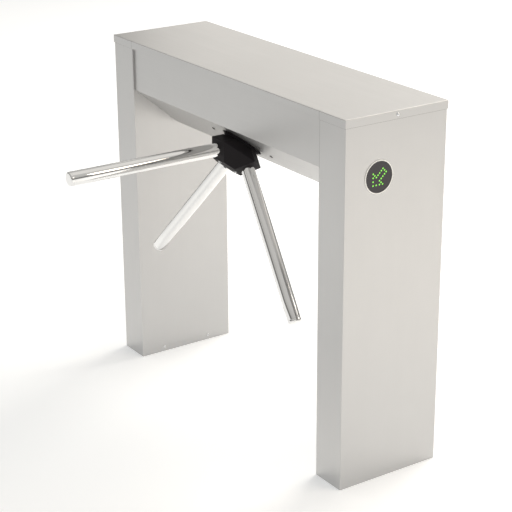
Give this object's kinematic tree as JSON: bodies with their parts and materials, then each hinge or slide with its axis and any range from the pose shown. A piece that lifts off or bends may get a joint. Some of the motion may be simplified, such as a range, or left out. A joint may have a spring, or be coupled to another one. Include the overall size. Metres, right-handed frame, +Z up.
{
  "type": "tripod turnstile",
  "caption": "Waist-high steel bridge turnstile with a slanted rotating hub and polished barrier arms that admits and counts visitors singly.",
  "frame": {"origin": "on the floor, at the middle of the four anchor holes, midway between the legs", "axes": "+X along the beam, -Y towards the passage that the arms bar, +Z up"},
  "size_m": [1.131, 0.777, 1],
  "materials": {
    "satin_steel": "satin stainless sheet",
    "polished_chrome": "mirror polished tube",
    "black_paint": "matte black coating",
    "dark_lens": "dark smoked plastic",
    "pale_bezel": "pale satin ring",
    "green_lamp": "lit green lamps",
    "circuit_board": "green circuit board",
    "copper_winding": "lacquered winding",
    "black_plastic": "moulded black plastic",
    "zinc_steel": "bright plated steel",
    "plain_aluminium": "mill aluminium",
    "machined_steel": "machined steel"
  },
  "bodies": {
    "cabinet": {"base_screws": "zinc_steel", "beam_back_panel": "satin_steel", "beam_bolts": "zinc_steel", "beam_brackets": "satin_steel", "beam_front_panel": "satin_steel", "control_board": "circuit_board", "counter_sensor": "black_plastic", "damper_body": "black_plastic", "electronics_tray": "plain_aluminium", "indicator_boards": "circuit_board", "indicator_leds": "green_lamp", "left_base_plate": "satin_steel", "left_indicator_bezel": "pale_bezel", "left_indicator_lens": "dark_lens", "left_leg_panel": "satin_steel", "left_leg_shell": "satin_steel", "left_solenoid_frame": "machined_steel", "mechanism_bolts": "zinc_steel", "mechanism_front_plate": "plain_aluminium", "mechanism_posts": "machined_steel", "mechanism_rear_plate": "plain_aluminium", "mechanism_spacers": "machined_steel", "pivot_pins": "machined_steel", "power_supply": "plain_aluminium", "return_springs": "zinc_steel", "right_base_plate": "satin_steel", "right_indicator_bezel": "pale_bezel", "right_indicator_lens": "dark_lens", "right_leg_panel": "satin_steel", "right_leg_shell": "satin_steel", "right_solenoid_frame": "machined_steel", "shaft_bearings": "machined_steel", "solenoid_coils": "copper_winding"},
    "lid": {"lid_cover": "satin_steel", "lid_stiffeners": "satin_steel", "lid_screws": "zinc_steel"},
    "tripod": {"hub": "black_paint", "arm_clamp_screws": "zinc_steel", "arm_1_tube": "polished_chrome", "arm_1_end_cap": "polished_chrome", "arm_2_tube": "polished_chrome", "arm_2_end_cap": "polished_chrome", "arm_3_tube": "polished_chrome", "arm_3_end_cap": "polished_chrome", "main_shaft": "machined_steel", "index_cam": "machined_steel", "lock_disc": "machined_steel", "main_gear": "machined_steel", "shaft_spacers": "machined_steel", "counter_disc": "machined_steel", "shaft_nut": "machined_steel"},
    "index_lever": {"index_lever": "machined_steel", "roller_pin": "machined_steel"},
    "cam_roller": {"cam_roller": "black_plastic"},
    "left_pawl": {"left_pawl": "machined_steel"},
    "right_pawl": {"right_pawl": "machined_steel"},
    "left_plunger": {"left_plunger": "machined_steel"},
    "right_plunger": {"right_plunger": "machined_steel"},
    "damper_pinion": {"damper_pinion": "black_plastic"}
  },
  "joints": [
    {"name": "tripod_spin", "type": "hinge", "parent": "cabinet", "child": "tripod", "pos_m": [0, -0.0835, 0.79484], "axis": [0, -0.6428, -0.766], "continuous": true},
    {"name": "lid_lift", "type": "slide", "parent": "cabinet", "child": "lid", "axis": [0, 0, 1], "range_m": [0, 0.15]},
    {"name": "index_lever_swing", "type": "hinge", "parent": "cabinet", "child": "index_lever", "pos_m": [0.058, -0.0406, 0.75885], "axis": [0, -0.6428, -0.766], "range_deg": [0, 8], "stiffness_Nm_per_rad": 2, "springref_deg": -11.46},
    {"name": "cam_roller_spin", "type": "hinge", "parent": "index_lever", "child": "cam_roller", "pos_m": [0, -0.04558, 0.76303], "axis": [0, -0.6428, -0.766], "continuous": true},
    {"name": "right_plunger_slide", "type": "slide", "parent": "cabinet", "child": "right_plunger", "axis": [0, -0.766, 0.6428], "range_m": [0, 0.0036], "stiffness_N_per_m": 300, "springref_m": -0.004},
    {"name": "left_plunger_slide", "type": "slide", "parent": "cabinet", "child": "left_plunger", "axis": [0, -0.766, 0.6428], "range_m": [0, 0.0036], "stiffness_N_per_m": 300, "springref_m": -0.004},
    {"name": "right_pawl_swing", "type": "hinge", "parent": "cabinet", "child": "right_pawl", "pos_m": [0.074, -0.05745, 0.77299], "axis": [0, -0.6428, -0.766], "range_deg": [0, 8.7]},
    {"name": "left_pawl_swing", "type": "hinge", "parent": "cabinet", "child": "left_pawl", "pos_m": [-0.074, -0.05745, 0.77299], "axis": [0, -0.6428, -0.766], "range_deg": [-8.7, 0]},
    {"name": "damper_spin", "type": "hinge", "parent": "cabinet", "child": "damper_pinion", "pos_m": [0, -0.13866, 0.84112], "axis": [0, -0.6428, -0.766], "continuous": true}
  ],
  "couplings": [
    {"joint": "damper_spin", "follows": "tripod_spin", "ratio": -3},
    {"joint": "right_pawl_swing", "follows": "right_plunger_slide", "rad_per_m": 41.667},
    {"joint": "left_pawl_swing", "follows": "left_plunger_slide", "rad_per_m": -41.667}
  ]
}
